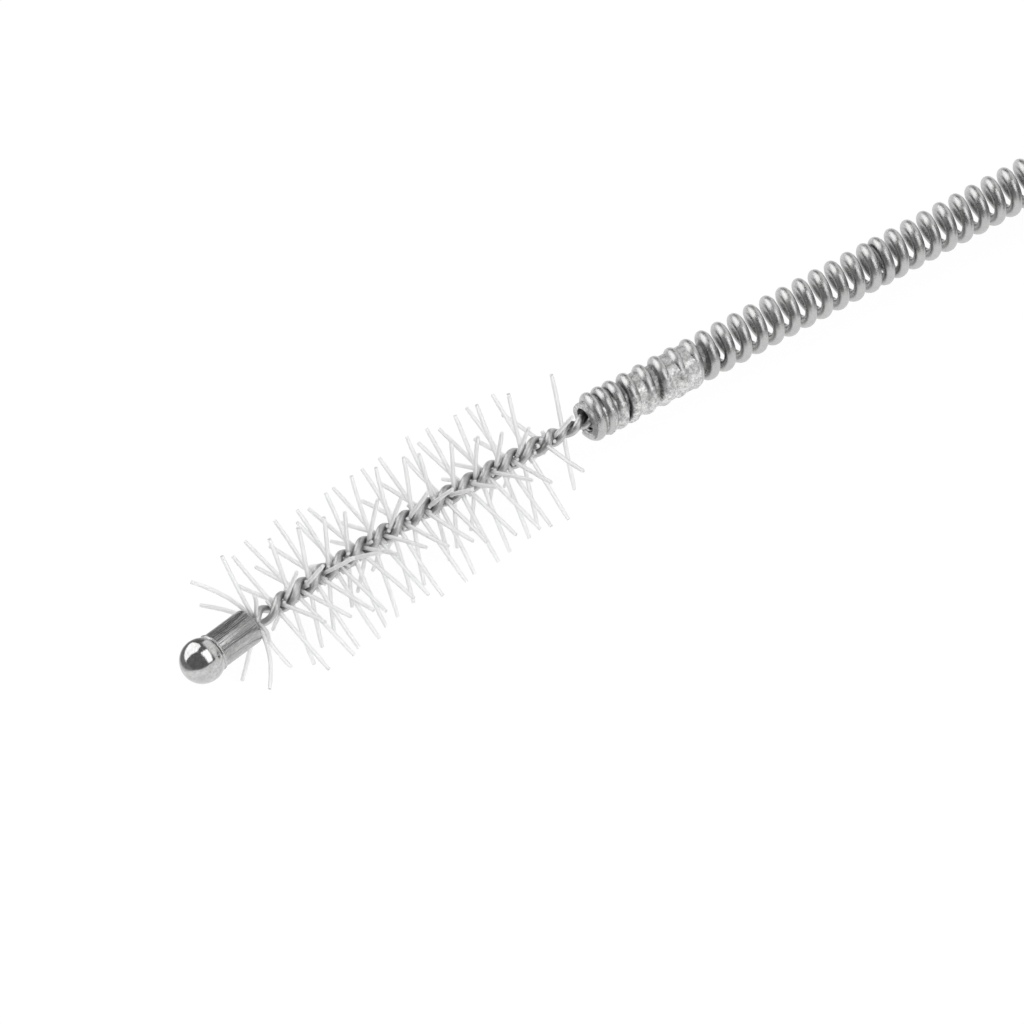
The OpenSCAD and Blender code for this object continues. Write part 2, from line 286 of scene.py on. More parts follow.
def cordRoute():
    drop = headZ - lowestTurnZ
    points = [leadStart + Vector((x, 0, drop * (share - 1))) for x, share in lead]
    marks = [-1] * len(points)
    count = round(tailMeets / cordLook["pointStep"])
    for i in range(count + 1):
        points.append(coilPoint(i * tailMeets / count))
        marks.append(i * tailMeets / count)
    for k in range(3):
        points.append(coilMiddle + Vector((tailR, -coil["tailRun"] * k / 2,
                                           ferrule["diameter"] / 2)))
        marks.append(-1)
    return points, marks


print("coil turns", round(tailMeets / 360, 2))


def smoothRoute(points, marks, parts=8):
    # Catmull-Rom through the points, with the coil's turned angle carried along
    ends = [2 * points[0] - points[1]] + points + [2 * points[-1] - points[-2]]
    dense, turned = [], []
    for i in range(1, len(ends) - 2):
        a, b, c, d = ends[i - 1:i + 3]
        for j in range(parts):
            t = j / parts
            dense.append(0.5 * (2 * b + (c - a) * t + (2 * a - 5 * b + 4 * c - d) * t * t
                                + (3 * b - a - 3 * c + d) * t ** 3))
            m0, m1 = marks[i - 1], marks[i]
            turned.append(-1 if m0 < 0 or m1 < 0 else m0 + (m1 - m0) * t)
    dense.append(points[-1])
    turned.append(-1)
    return np.array(dense), np.array(turned)


def isBuried(turned):
    # turns with others over and beside them, which nobody sees
    if turned < 0:
        return False
    column, layer = coilPlace(turned)
    return 0.999 < column < coil["columns"] - 1.999 and layer < coil["layers"] - 1.999


def ridge(phase):
    # height of the wound surface over one pitch, from the middle of a wire
    half, mean = shaft["wire"] / 2, (shaft["outer"] - shaft["wire"]) / 2
    off = np.abs((phase + 0.5) % 1 - 0.5) * cordLook["pitch"]
    return np.maximum(mean + np.sqrt(np.maximum(half ** 2 - off ** 2, 0)) - (off >= half) * half,
                      cordLook["valley"])


def makeCord(material):
    points, marks = cordRoute()
    line, turned = smoothRoute(points, marks)
    along = np.r_[0, np.cumsum(np.linalg.norm(np.diff(line, axis=0), axis=1))]
    fine, coarse = cordLook["pitch"] / cordLook["ringsPerPitch"], cordLook["hiddenStep"]
    places, at = [], 0.0
    while at < along[-1] - fine:
        places.append(at)
        mark = turned[min(np.searchsorted(along, at), len(turned) - 1)]
        ahead = turned[min(np.searchsorted(along, at + coarse), len(turned) - 1)]
        at += coarse if isBuried(mark) and isBuried(ahead) else fine
    places.append(along[-1])
    places = np.array(places)
    middle = np.stack([np.interp(places, along, line[:, i]) for i in range(3)], axis=1)
    before, after = (np.stack([np.interp(places + off, along, line[:, i]) for i in range(3)],
                              axis=1) for off in (-cordLook["aim"], cordLook["aim"]))
    heading = after - before
    heading /= np.linalg.norm(heading, axis=1)[:, None]
    side = np.cross(heading, (0, 0, 1.0))
    side /= np.linalg.norm(side, axis=1)[:, None]
    over = np.cross(side, heading)
    sides = cordLook["sides"]
    turn = np.arange(sides) * 2 * math.pi / sides
    spacing = np.r_[np.diff(places), fine]
    phase = places[:, None] / cordLook["pitch"] + turn[None, :] / (2 * math.pi)
    radius = np.where(spacing[:, None] > 2 * fine, shaft["outer"] / 2, ridge(phase))
    radius[0] = radius[-1] = shaft["outer"] / 2 - cordLook["endsIn"]
    outwards = (np.cos(turn)[None, :, None] * over[:, None, :]
                + np.sin(turn)[None, :, None] * side[:, None, :])
    spots = middle[:, None, :] + radius[:, :, None] * outwards
    rings = len(places)
    faces = [(i * sides + k, (i + 1) * sides + k, (i + 1) * sides + (k + 1) % sides,
              i * sides + (k + 1) % sides) for i in range(rings - 1) for k in range(sides)]
    faces.append(tuple(range(sides)))
    faces.append(tuple((rings - 1) * sides + k for k in reversed(range(sides))))
    mesh = bpy.data.meshes.new("woundShaft")
    mesh.from_pydata((spots.reshape(-1, 3) * mm).tolist(), [], faces)
    layer = mesh.uv_layers.new(name="UVMap")
    flat = np.zeros((len(mesh.loops), 2), dtype=np.float32)
    corner = 0
    for i in range(rings - 1):
        for k in range(sides):
            flat[corner:corner + 4] = ((k, places[i]), (k, places[i + 1]),
                                       (k + 1, places[i + 1]), (k + 1, places[i]))
            corner += 4
    flat[:, 0] /= sides
    flat[:, 1] *= mm
    layer.data.foreach_set("uv", flat.ravel())
    mesh.validate()
    piece = bpy.data.objects.new("woundShaft", mesh)
    bpy.context.scene.collection.objects.link(piece)
    faceOutwards(piece)
    only(piece)
    bpy.ops.object.shade_smooth()
    dress(piece, material, "spring_wire", "shaft_lead", "shaft_coil", "shaft_tail")
    print("free shaft", round(along[-1]), "mm,", rings, "rings")
    return piece, points, along[-1]


# Shared effects, each a node group with its own values in every material
def newGroup(name, inputs, outputs):
    group = bpy.data.node_groups.new(name, "ShaderNodeTree")
    for title, kind, value in inputs:
        socket = group.interface.new_socket(name=title, in_out="INPUT", socket_type=kind)
        if value is not None:
            socket.default_value = value
    for title, kind in outputs:
        group.interface.new_socket(name=title, in_out="OUTPUT", socket_type=kind)
    return group, group.nodes.new("NodeGroupInput"), group.nodes.new("NodeGroupOutput")


def addNode(tree, kind, inputs=None, **settings):
    node = tree.nodes.new(kind)
    for key, value in settings.items():
        setattr(node, key, value)
    for key, value in (inputs or {}).items():
        if isinstance(value, bpy.types.NodeSocket):
            tree.links.new(value, node.inputs[key])
        else:
            node.inputs[key].default_value = value
    return node


def makeGrainGroup():
    # fine cast or blasted grain: a mask for the colour and a height for the bump
    group, given, made = newGroup("metalGrain", [
        ("Vector", "NodeSocketVector", None), ("Scale", "NodeSocketFloat", 9000.0),
        ("Blotches", "NodeSocketFloat", 1500.0), ("Sharpness", "NodeSocketFloat", 0.5)],
        [("Mask", "NodeSocketFloat"), ("Height", "NodeSocketFloat")])
    fine = addNode(group, "ShaderNodeTexNoise", {"Vector": given.outputs["Vector"],
                   "Scale": given.outputs["Scale"], "Detail": 4.0, "Roughness": 0.65})
    wide = addNode(group, "ShaderNodeTexNoise", {"Vector": given.outputs["Vector"],
                   "Scale": given.outputs["Blotches"], "Detail": 3.0, "Roughness": 0.6})
    mixed = addNode(group, "ShaderNodeMath", {0: fine.outputs[0], 1: wide.outputs[0]},
                    operation="ADD")
    spread = addNode(group, "ShaderNodeMapRange", {"Value": mixed.outputs[0], "From Min": 0.7,
                     "From Max": 1.3})
    curved = addNode(group, "ShaderNodeMath", {0: spread.outputs[0],
                     1: given.outputs["Sharpness"]}, operation="POWER")
    group.links.new(curved.outputs[0], made.inputs["Mask"])
    group.links.new(mixed.outputs[0], made.inputs["Height"])
    return group


def makeStreakGroup():
    # drawing marks: noise stretched along one direction, with a few deeper lines
    group, given, made = newGroup("drawnStreaks", [
        ("Vector", "NodeSocketVector", None), ("Stretch", "NodeSocketVector", (1.0, 1.0, 1.0)),
        ("Scale", "NodeSocketFloat", 5000.0), ("Depth", "NodeSocketFloat", 0.5)],
        [("Mask", "NodeSocketFloat"), ("Lines", "NodeSocketFloat"),
         ("Height", "NodeSocketFloat")])
    long = addNode(group, "ShaderNodeVectorMath", {0: given.outputs["Vector"],
                   1: given.outputs["Stretch"]}, operation="MULTIPLY")
    fine = addNode(group, "ShaderNodeTexNoise", {"Vector": long.outputs[0],
                   "Scale": given.outputs["Scale"], "Detail": 5.0, "Roughness": 0.7})
    few = addNode(group, "ShaderNodeTexVoronoi", {"Vector": long.outputs[0],
                  "Scale": given.outputs["Scale"], "Randomness": 1.0},
                  feature="DISTANCE_TO_EDGE")
    thin = addNode(group, "ShaderNodeMapRange", {"Value": few.outputs["Distance"],
                   "From Min": 0.0, "From Max": 0.08, "To Min": 1.0, "To Max": 0.0})
    deep = addNode(group, "ShaderNodeMath", {0: thin.outputs[0], 1: given.outputs["Depth"]},
                   operation="MULTIPLY")
    height = addNode(group, "ShaderNodeMath", {0: fine.outputs[0], 1: deep.outputs[0]},
                     operation="SUBTRACT")
    spread = addNode(group, "ShaderNodeMapRange", {"Value": fine.outputs[0], "From Min": 0.3,
                     "From Max": 0.7})
    group.links.new(spread.outputs[0], made.inputs["Mask"])
    group.links.new(deep.outputs[0], made.inputs["Lines"])
    group.links.new(height.outputs[0], made.inputs["Height"])
    return group


grainGroup = makeGrainGroup()
streakGroup = makeStreakGroup()


def newMaterial(name, **values):
    material = bpy.data.materials.new(name)
    material.use_nodes = True
    tree = material.node_tree
    shader = tree.nodes["Principled BSDF"]
    for key, value in values.items():
        shader.inputs[key.replace("_", " ")].default_value = value
    return material, tree, shader


def blendColour(tree, mask, dark, light):
    mixed = addNode(tree, "ShaderNodeMix", data_type="RGBA")
    tree.links.new(mask, mixed.inputs[0])
    mixed.inputs[6].default_value = (*dark, 1)
    mixed.inputs[7].default_value = (*light, 1)
    return mixed.outputs[2]


def bumped(tree, shader, height, look):
    bump = addNode(tree, "ShaderNodeBump", {"Height": height, "Distance": look["bump"],
                   "Strength": look["bumpShare"]})
    tree.links.new(bump.outputs[0], shader.inputs["Normal"])


def withPaintedShade(tree, colour, reach, floor):
    # painted shade: the colour is made darker where other surfaces stand close by, within the
    # reach in millimetres
    near = addNode(tree, "ShaderNodeAmbientOcclusion", {"Distance": reach * mm}, samples=8)
    clear = addNode(tree, "ShaderNodeMapRange", {"Value": near.outputs["AO"], "From Min": 0.25,
                    "From Max": 0.85, "To Min": floor, "To Max": 1.0})
    toned = addNode(tree, "ShaderNodeVectorMath", {0: colour, 1: clear.outputs[0]},
                    operation="MULTIPLY")
    return toned.outputs[0]


def useGroup(tree, group, inputs):
    node = tree.nodes.new("ShaderNodeGroup")
    node.node_tree = group
    for key, value in inputs.items():
        if isinstance(value, bpy.types.NodeSocket):
            tree.links.new(value, node.inputs[key])
        else:
            node.inputs[key].default_value = value
    return node


def grey(level):
    return (level, level, level * 0.995)


# Finishes: greys or colours from dark to light, the scales of the grain and its blotches per
# metre, the depth of the bump in metres, and over which reach corners get painted shade, how
# darkly
finishes = {
    "polishedSteel": {"dark": grey(0.46), "light": grey(0.68), "rough": (0.07, 0.17),
                      "grain": 22000.0, "blotches": 5000.0, "sharpness": 1.4,
                      "bump": 0.000004, "bumpShare": 0.6},
    "brightBead": {"dark": grey(0.3), "light": grey(0.62), "grain": 9000.0, "blotches": 2500.0,
                   "sharpness": 0.8, "bump": 0.00002, "bumpShare": 0.9},
    "drawnSteel": {"dark": grey(0.36), "light": grey(0.64), "rough": 0.14},
    "ferruleSteel": {"dark": grey(0.4), "light": grey(0.66), "rough": 0.16},
    "drawnTube": {"stretch": (1.0, 1.0, 0.035), "lines": 14000.0, "lineDepth": 0.6,
                  "grain": 16000.0, "blotches": 4000.0, "sharpness": 1.0, "bump": 0.000005,
                  "bumpShare": 0.8},
    "satinWire": {"dark": grey(0.36), "light": grey(0.78), "rough": 0.36,
                  "stretch": (1.0, 9.0, 1.0), "lines": 6.0, "bump": 0.000006,
                  "paintedShade": (0.2, 0.65)},
    "springWire": {"dark": grey(0.44), "light": grey(0.64), "rough": 0.29,
                   "stretch": (4.0, 60.0, 1.0), "lines": 5.0, "bump": 0.000003,
                   "paintedShade": (0.35, 0.45)},
    "springWireFar": {"dark": grey(0.44), "light": grey(0.64), "rough": 0.3,
                      "stretch": (1.0, 1200.0, 1.0), "lines": 5.0, "bump": 0.000004,
                      "paintedShade": (0.3, 0.6)},
    "wire": {"lineDepth": 0.35, "grain": 12000.0, "blotches": 2600.0, "sharpness": 1.1,
             "bumpShare": 0.6},
    "grainySolder": {"dark": grey(0.3), "light": grey(1.0), "rough": (0.58, 0.36),
                     "grain": 16000.0, "blotches": 5000.0, "sharpness": 0.9, "pits": 9000.0,
                     "pitDepth": 0.55, "darkerNearMouth": 0.1, "bump": 0.000016, "bumpShare": 0.8,
                     "paintedShade": (0.25, 0.12)},
    "nylon": {"dark": (0.9, 0.9, 0.905), "light": (0.95, 0.95, 0.95), "cut": (0.8, 0.8, 0.81),
              "cutFrom": 0.485, "grain": 6000.0, "blotches": 900.0, "sharpness": 0.8,
              "paintedShade": (0.2, 0.7)},
    "tiePlastic": {"dark": (0.5, 0.5, 0.49), "light": (0.62, 0.62, 0.61), "grain": 5000.0,
                   "blotches": 500.0, "sharpness": 0.7, "bump": 0.00004, "bumpShare": 0.5}}


def addGrain(tree, place, look):
    return useGroup(tree, grainGroup, {"Vector": place, "Scale": look["grain"],
                    "Blotches": look["blotches"], "Sharpness": look["sharpness"]})


def addStreaks(tree, place, look):
    return useGroup(tree, streakGroup, {"Vector": place, "Stretch": look["stretch"],
                    "Scale": look["lines"], "Depth": look["lineDepth"]})


def roughened(tree, shader, mask, low, high):
    level = addNode(tree, "ShaderNodeMapRange", {"Value": mask, "To Min": low, "To Max": high})
    tree.links.new(level.outputs[0], shader.inputs["Roughness"])


def objectPlace(tree):
    return addNode(tree, "ShaderNodeTexCoord").outputs["Object"]


def makePolishedSteel():
    look = finishes["polishedSteel"]
    material, tree, shader = newMaterial("polishedSteel", Metallic=1.0, Roughness=0.1)
    grain = addGrain(tree, objectPlace(tree), look)
    tree.links.new(blendColour(tree, grain.outputs["Mask"], look["dark"], look["light"]),
                   shader.inputs["Base Color"])
    roughened(tree, shader, grain.outputs["Mask"], *look["rough"])
    bumped(tree, shader, grain.outputs["Height"], look)
    return material


def makeBrightBead():
    look = finishes["brightBead"]
    material, tree, shader = newMaterial("brightBead", Metallic=1.0, Roughness=0.2)
    grain = addGrain(tree, objectPlace(tree), look)
    tree.links.new(blendColour(tree, grain.outputs["Mask"], look["dark"], look["light"]),
                   shader.inputs["Base Color"])
    bumped(tree, shader, grain.outputs["Height"], look)
    return material


def makeDrawnSteel(name, turnedPlace):
    # turnedPlace is the matrix that brings a point to the tube's own axis, along Z
    look = {**finishes["drawnTube"], **finishes[name]}
    material, tree, shader = newMaterial(name, Metallic=1.0, Roughness=look["rough"])
    place = objectPlace(tree)
    back = turnedPlace.inverted()
    turn = addNode(tree, "ShaderNodeMapping", {"Vector": place}, vector_type="POINT")
    turn.inputs["Rotation"].default_value = back.to_euler("XYZ")
    turn.inputs["Location"].default_value = back.to_translation()
    streaks = addStreaks(tree, turn.outputs[0], look)
    grain = addGrain(tree, place, look)
    tone = addNode(tree, "ShaderNodeMath", {0: streaks.outputs["Mask"], 1: grain.outputs["Mask"]},
                   operation="MULTIPLY")
    tree.links.new(blendColour(tree, tone.outputs[0], look["dark"], look["light"]),
                   shader.inputs["Base Color"])
    roughened(tree, shader, streaks.outputs["Mask"], look["rough"] * 0.7, look["rough"] * 1.3)
    bumped(tree, shader, streaks.outputs["Height"], look)
    return material


def makeWireMetal(name):
    # the wire's own map runs round it and along it
    look = {**finishes["wire"], **finishes[name]}
    material, tree, shader = newMaterial(name, Metallic=1.0, Roughness=look["rough"])
    around = addNode(tree, "ShaderNodeUVMap", uv_map="UVMap").outputs[0]
    streaks = addStreaks(tree, around, look)
    grain = addGrain(tree, objectPlace(tree), look)
    tone = addNode(tree, "ShaderNodeMath", {0: streaks.outputs["Mask"], 1: grain.outputs["Mask"]},
                   operation="ADD")
    half = addNode(tree, "ShaderNodeMath", {0: tone.outputs[0], 1: 0.5}, operation="MULTIPLY")
    colour = blendColour(tree, half.outputs[0], look["dark"], look["light"])
    # painted shade in the crevices between the wires
    tree.links.new(withPaintedShade(tree, colour, *look["paintedShade"]), shader.inputs["Base Color"])
    roughened(tree, shader, grain.outputs["Mask"], look["rough"] * 0.75, look["rough"] * 1.3)
    bumped(tree, shader, streaks.outputs["Height"], look)
    return material


# The solder's drop below the crests is given at turns of the shaft
solderLook = {"around": 220, "along": 230, "starts": 0.1, "ends": 5.3, "inner": 0.46,
              "drops": [(-1, 0.13), (0, 0.13), (1, 0.11), (2, 0.12), (2.15, 0.24), (2.55, 0.22),
                        (2.75, 0.1), (4, 0.06), (4.15, 0.08), (4.27, 0.3), (4.62, 0.28),
                        (4.75, 0.06), (5.5, 0.03), (6.9, 0.03), (7.1, 0.36), (8.3, 0.38)],
              "coat": 0.014, "wiped": 0.085, "melt": 0.035, "bareSide": (0.5736, 0.8192),
              "lumps": 0.026, "lumpSize": 0.28, "grit": 0.012, "gritSize": 0.06,
              "burrs": 0.07, "burrSize": 0.12, "burrSide": (1, 0.35, 0.35), "burrsTo": 0.05,
              "darkerNearMouth": (0.05, 0.4), "wall": 9, "sunk": 0.08, "sunkFrom": 0.35, "sunkOver": 0.5,
              "bareFrom": 0.1, "bareOver": 0.6, "firstBare": 0.7, "lastBare": 6.95,
              "bareRuns": 4, "runsOut": 0.45, "rim": 0.32}


def makeSolderMetal():
    # set metal: mottled, with a soft sheen and shallow pits, and darker towards the mouth's lower
    # side
    look = finishes["grainySolder"]
    material, tree, shader = newMaterial("grainySolder", Metallic=1.0, Roughness=0.5)
    place = objectPlace(tree)
    grain = addGrain(tree, place, look)
    specks = addNode(tree, "ShaderNodeTexVoronoi", {"Vector": place, "Scale": look["pits"]})
    pits = addNode(tree, "ShaderNodeMapRange", {"Value": specks.outputs["Distance"],
                   "From Min": 0.0, "From Max": 0.3, "To Min": look["pitDepth"]})
    tone = addNode(tree, "ShaderNodeMath", {0: grain.outputs["Mask"], 1: pits.outputs[0]},
                   operation="MULTIPLY")
    side = Vector(solderLook["burrSide"])
    fromMouth = addNode(tree, "ShaderNodeVectorMath", {0: place, 1: side},
                        operation="DOT_PRODUCT")
    # the colour is made darker towards the mouth and its lower side, over a range given in
    # millimetres
    darkerNearMouth = addNode(tree, "ShaderNodeMapRange", {
        "Value": fromMouth.outputs["Value"], "To Min": look["darkerNearMouth"],
        "From Min": (mouth.dot(side) + solderLook["darkerNearMouth"][0]) * mm,
        "From Max": (mouth.dot(side) + solderLook["darkerNearMouth"][1]) * mm})
    tone = addNode(tree, "ShaderNodeMath", {0: tone.outputs[0], 1: darkerNearMouth.outputs[0]},
                   operation="MULTIPLY")
    colour = blendColour(tree, tone.outputs[0], look["dark"], look["light"])
    # painted shade in the solder's crevices
    tree.links.new(withPaintedShade(tree, colour, *look["paintedShade"]), shader.inputs["Base Color"])
    roughened(tree, shader, grain.outputs["Mask"], *look["rough"])
    height = addNode(tree, "ShaderNodeMath", {0: grain.outputs["Height"], 1: pits.outputs[0]},
                     operation="ADD")
    bumped(tree, shader, height.outputs[0], look)
    return material


def makeNylon():
    # a clear white filament that turns greyer at its cut ends; its map runs from end to end
    look = finishes["nylon"]
    material, tree, shader = newMaterial("nylon", Roughness=0.3, IOR=1.53,
                                         Transmission_Weight=0.4)
    along = addNode(tree, "ShaderNodeSeparateXYZ", {"Vector": addNode(
        tree, "ShaderNodeUVMap", uv_map="UVMap").outputs[0]}).outputs["Y"]
    fromMiddle = addNode(tree, "ShaderNodeMath", {0: along, 1: 0.5}, operation="SUBTRACT")
    apart = addNode(tree, "ShaderNodeMath", {0: fromMiddle.outputs[0]}, operation="ABSOLUTE")
    cut = addNode(tree, "ShaderNodeMapRange", {"Value": apart.outputs[0],
                  "From Min": look["cutFrom"], "From Max": 0.5})
    grain = addGrain(tree, objectPlace(tree), look)
    body = blendColour(tree, grain.outputs["Mask"], look["dark"], look["light"])
    mixed = addNode(tree, "ShaderNodeMix", data_type="RGBA")
    tree.links.new(cut.outputs[0], mixed.inputs[0])
    tree.links.new(body, mixed.inputs[6])
    mixed.inputs[7].default_value = (*look["cut"], 1)
    # painted shade where the filaments crowd the stem and each other
    tree.links.new(withPaintedShade(tree, mixed.outputs[2], *look["paintedShade"]), shader.inputs["Base Color"])
    return material


def makeTiePlastic():
    look = finishes["tiePlastic"]
    material, tree, shader = newMaterial("tiePlastic", Roughness=0.45, IOR=1.5)
    grain = addGrain(tree, objectPlace(tree), look)
    tree.links.new(blendColour(tree, grain.outputs["Mask"], look["dark"], look["light"]),
                   shader.inputs["Base Color"])
    bumped(tree, shader, grain.outputs["Height"], look)
    return material


polishedSteel = makePolishedSteel()
brightBead = makeBrightBead()
sleeveSteel = makeDrawnSteel("drawnSteel", tipPlace)
ferruleSteel = makeDrawnSteel("ferruleSteel", ferrulePlace)
satinWire = makeWireMetal("satinWire")
springWire = makeWireMetal("springWire")
cordWire = makeWireMetal("springWireFar")
grainySolder = makeSolderMetal()
nylon = makeNylon()
tiePlastic = makeTiePlastic()
print("materials made")

woundShaft, cordPoints, cordLength = makeCord(cordWire)


# Ball, weld ring and sleeve
ballLook = {"segments": 96, "rings": 64}
weldLook = {"segments": 128, "sides": 16, "lumpSize": 0.22, "lumps": 0.05, "middle": 0.6}
sleeveLook = {"segments": 96, "edge": 0.12, "boreRadius": 0.292, "nicks": 0.012,
              "nickWaves": ((7, 0), (17, 2), (31, 5)), "nickedFrom": 0.4}


def makeBall():
    clearSelection()
    bpy.ops.mesh.primitive_uv_sphere_add(segments=ballLook["segments"],
                                         ring_count=ballLook["rings"], radius=ballR * mm)
    ball = bpy.context.object
    ball.name = "ballTip"
    bpy.ops.object.mode_set(mode="EDIT")
    bpy.ops.mesh.select_all(action="SELECT")
    bpy.ops.mesh.bisect(plane_co=(0, 0, seatX * mm), plane_no=(0, 0, 1), use_fill=True,
                        clear_outer=True, threshold=tiny)
    bpy.ops.object.mode_set(mode="OBJECT")
    putAt(ball, tipPlace)
    faceOutwards(ball)
    only(ball)
    bpy.ops.object.shade_smooth_by_angle(angle=math.radians(40))
    dress(ball, polishedSteel, "polished_steel", "tip_ball")


def makeWeld():
    clearSelection()
    bpy.ops.mesh.primitive_torus_add(
        major_segments=weldLook["segments"], minor_segments=weldLook["sides"],
        location=(0, 0, seatX * mm),
        major_radius=(sleeveR + tip["weldHeight"] - tip["weldWidth"] / 2) * mm,
        minor_radius=tip["weldWidth"] / 2 * mm)
    weld = bpy.context.object
    weld.name = "weldRing"
    addClouds(weld, "weldLumps", weldLook["lumpSize"], weldLook["lumps"], weldLook["middle"])
    applyModifiers(weld)
    putAt(weld, tipPlace)
    faceOutwards(weld)
    only(weld)
    bpy.ops.object.shade_smooth()
    dress(weld, brightBead, "bright_solder", "tip_weld")


def selectFaces(piece, test):
    # leaves edit mode open with only the faces that pass the test selected
    only(piece)
    bpy.ops.object.mode_set(mode="EDIT")
    bpy.ops.mesh.select_mode(type="FACE")
    bpy.ops.mesh.select_all(action="DESELECT")
    work = bmesh.from_edit_mesh(piece.data)
    for face in work.faces:
        face.select_set(test(face))
    work.select_flush_mode()
    bmesh.update_edit_mesh(piece.data)


def makeSleeve():
    clearSelection()
    length = tip["sleeveLength"]
    bpy.ops.mesh.primitive_cylinder_add(
        vertices=sleeveLook["segments"], radius=sleeveR * mm, depth=length * mm,
        location=(0, 0, (seatX + length / 2) * mm))
    sleeve = bpy.context.object
    sleeve.name = "sleeve"
    bpy.ops.object.transform_apply(location=True, rotation=False, scale=False)
    selectFaces(sleeve, lambda face: face.normal.z > 0.9)
    bpy.ops.mesh.inset(thickness=(sleeveR - sleeveLook["boreRadius"]) * mm, depth=0)
    bpy.ops.mesh.extrude_region_move(
        TRANSFORM_OT_translate={"value": (0, 0, -tip["boreDepth"] * mm)})
    bpy.ops.object.mode_set(mode="OBJECT")
    work = bmesh.new()
    work.from_mesh(sleeve.data)
    rim = [edge for edge in work.edges if all(
        abs(v.co.z - (seatX + length) * mm) < tiny and v.co.xy.length > (sleeveR - 0.01) * mm
        for v in edge.verts)]
    bmesh.ops.bevel(work, geom=rim, offset=sleeveLook["edge"] * mm, segments=5, profile=0.5,
                    affect="EDGES")
    for v in work.verts:
        if (v.co.z > (seatX + length - sleeveLook["edge"]) * mm
                and v.co.xy.length > sleeveLook["nickedFrom"] * mm):
            angle = math.atan2(v.co.y, v.co.x)
            uneven = sum(math.sin(waves * angle + shift)
                         for waves, shift in sleeveLook["nickWaves"])
            v.co.z -= sleeveLook["nicks"] * mm * abs(uneven)
    work.to_mesh(sleeve.data)
    work.free()
    putAt(sleeve, tipPlace)
    faceOutwards(sleeve)
    only(sleeve)
    bpy.ops.object.shade_smooth_by_angle(angle=math.radians(35))
    dress(sleeve, sleeveSteel, "drawn_steel", "tip_sleeve")


makeBall()
makeWeld()
makeSleeve()
print("tip made")


# Twisted stem: two wires that clamp the bristles
stemLook = {"pointsPerTurn": 26, "sides": 12}


def strandOffset(u):
    bare = stem["wire"] / 2 + gap
    wide = stem["wire"] / 2 + brush["filament"] / 2 + gap
    fromSleeve = (stem["free"] - u) / (stem["start"] - brush["filament"] / 2)
    fromShaft = (u - stem["bare"] / 2) / (stem["bare"] / 2 - brush["filament"] / 2)
    return bare + (wide - bare) * ramp(min(fromSleeve, fromShaft))


def makeStemWire(name, side, node):
    first, last = -stem["seat"], stem["free"] + tip["boreDepth"] - stem["wire"] / 2
    turns = (stemTwist(last) - stemTwist(first)) / (2 * math.pi)
    count = round(turns * stemLook["pointsPerTurn"])
    line = []
    for i in range(count + 1):
        u = first + (last - first) * i / count
        at = mouth + stemPoint(u) + strandOffset(u) * stemRadial(u, stemTwist(u) + side)
        line.append((at, 1.0))
    wire = wireCurve(name, [line], stem["wire"], stemLook["sides"])
    dress(wire, satinWire, "satin_wire", node)


makeStemWire("stemWireA", 0, "stem_wire_a")
makeStemWire("stemWireB", math.pi, "stem_wire_b")
print("stem made")


# Bristles: every filament runs where its solid does, with a slight bend of its own
bristleLook = {"points": 13, "sides": 10, "waver": 0.10, "waverAcross": 0.3, "waverShare": 0.6,
               "tipRound": 0.86, "rootStep": 0.02, "rootSteps": 700, "sameTip": 0.2,
               "shortStarts": 0.35, "shortFrom": 0.7, "shortStops": 1.0, "shortStep": 0.15,
               "shortUneven": (0.85, 1.15), "shortReach": (0.26, 0.44),
               "shortLean": (-0.35, 0.35)}


def filamentEnds(node):
    # middles of the two cut ends of every filament in a solid node, in millimetres
    copy = nodes[node].data.copy()
    work = bmesh.new()
    work.from_mesh(copy)
    bmesh.ops.remove_doubles(work, verts=work.verts, dist=tiny)
    left, ends = dict.fromkeys(work.verts), []   # keeps its order, so every run is the same
    while left:
        island, queue = [], [left.popitem()[0]]
        while queue:
            v = queue.pop()
            island.append(v.co / mm)
            for edge in v.link_edges:
                other = edge.other_vert(v)
                if other in left:
                    del left[other]
                    queue.append(other)
        spots = np.array(island)
        axis = np.linalg.svd(spots - spots.mean(axis=0), full_matrices=False)[2][0]
        run = (spots - spots.mean(axis=0)) @ axis
        low = spots[run < run.min() + 0.5 * brush["filament"]].mean(axis=0)
        high = spots[run > run.max() - 0.5 * brush["filament"]].mean(axis=0)
        ends.append((Vector(low), Vector(high)))
    work.free()
    bpy.data.meshes.remove(copy)
    return ends


def nearestStem(point):
    return min((stem["start"] + i * bristleLook["rootStep"]
                for i in range(bristleLook["rootSteps"])),
               key=lambda u: (mouth + stemPoint(u) - point).length)


# The first filaments are bent further than their solids: tip of the solid, and how far it moves
bentTips = [((-17.36, 1.17, 3.07), (0.436, 0.561, 0.585)),
            ((-16.82, -2.39, 2.6), (0.015, -0.397, -0.261)),
            ((-15.9, 0.94, 5.01), (-0.165, 0.182, 0.045)),
            ((-15.52, -1.73, 0.66), (0.478, 0.212, 0.369)),
            ((-16.28, -0.03, 0.59), (-0.093, -0.482, -0.369)),
            ((-16.96, 1.14, 1.61), (0.4, 0.57, 0.57))]


def bentTip(point):
    for solidTip, move in bentTips:
        if (Vector(solidTip) - point).length < bristleLook["sameTip"]:
            return point + Vector(move)
    return point


